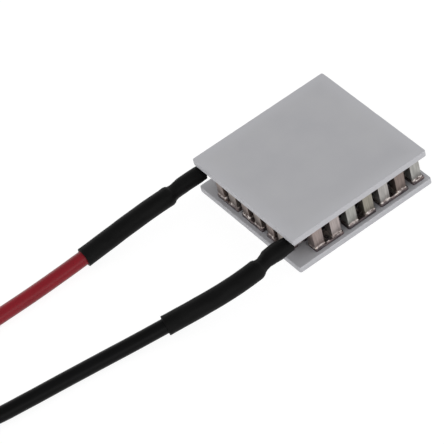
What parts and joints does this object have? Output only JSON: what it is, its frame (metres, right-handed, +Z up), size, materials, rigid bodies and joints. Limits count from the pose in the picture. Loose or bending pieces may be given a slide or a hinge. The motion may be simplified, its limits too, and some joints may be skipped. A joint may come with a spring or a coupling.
{
  "type": "thermoelectric cooling module",
  "caption": "Square Peltier module: two ceramic plates with rows of semiconductor legs between copper tabs, and a red and a black lead in black sleeves leaving one edge.",
  "frame": {"origin": "centre of the lower plate's underside", "axes": "+Z up through the thickness, X along the edge the leads leave from (red at -X, black at +X), leads leave towards -Y"},
  "size_m": [0.019, 0.0698, 0.0041],
  "materials": {
    "alumina": "matt as-fired ceramic",
    "p_type_telluride": "sawn semiconductor, faint stripes",
    "n_type_telluride": "sawn semiconductor, faint stripes",
    "copper_tab": "tinned and dulled",
    "solder": "reflowed, satin",
    "tinned_strands": "satin",
    "shrink_sleeve": "satin",
    "red_insulation": "satin",
    "black_insulation": "satin",
    "nylon_tie": "satin"
  },
  "bodies": {
    "root": {"lower_plate": "alumina", "upper_plate": "alumina", "p_legs_row_1": "p_type_telluride", "p_legs_row_2": "p_type_telluride", "p_legs_row_3": "p_type_telluride", "p_legs_row_4": "p_type_telluride", "p_legs_row_5": "p_type_telluride", "p_legs_row_6": "p_type_telluride", "p_legs_row_7": "p_type_telluride", "p_legs_row_8": "p_type_telluride", "n_legs_row_1": "n_type_telluride", "n_legs_row_2": "n_type_telluride", "n_legs_row_3": "n_type_telluride", "n_legs_row_4": "n_type_telluride", "n_legs_row_5": "n_type_telluride", "n_legs_row_6": "n_type_telluride", "n_legs_row_7": "n_type_telluride", "n_legs_row_8": "n_type_telluride", "lower_tabs_front": "copper_tab", "lower_tabs_2_3": "copper_tab", "lower_tabs_4_5": "copper_tab", "lower_tabs_6_7": "copper_tab", "lower_tabs_back": "copper_tab", "upper_tabs_1_2": "copper_tab", "upper_tabs_3_4": "copper_tab", "upper_tabs_5_6": "copper_tab", "upper_tabs_7_8": "copper_tab", "red_terminal_tab": "copper_tab", "black_terminal_tab": "copper_tab", "lower_solder_row_1": "solder", "lower_solder_row_2": "solder", "lower_solder_row_3": "solder", "lower_solder_row_4": "solder", "lower_solder_row_5": "solder", "lower_solder_row_6": "solder", "lower_solder_row_7": "solder", "lower_solder_row_8": "solder", "upper_solder_row_1": "solder", "upper_solder_row_2": "solder", "upper_solder_row_3": "solder", "upper_solder_row_4": "solder", "upper_solder_row_5": "solder", "upper_solder_row_6": "solder", "upper_solder_row_7": "solder", "upper_solder_row_8": "solder", "red_joint_solder": "solder", "black_joint_solder": "solder", "red_tinning": "solder", "black_tinning": "solder", "red_core": "tinned_strands", "black_core": "tinned_strands", "red_sleeve": "shrink_sleeve", "black_sleeve": "shrink_sleeve", "red_lead": "red_insulation", "black_lead": "black_insulation", "red_coil": "red_insulation", "black_coil": "black_insulation", "red_bare_end": "tinned_strands", "black_bare_end": "tinned_strands", "coil_tie": "nylon_tie"}
  },
  "joints": []
}
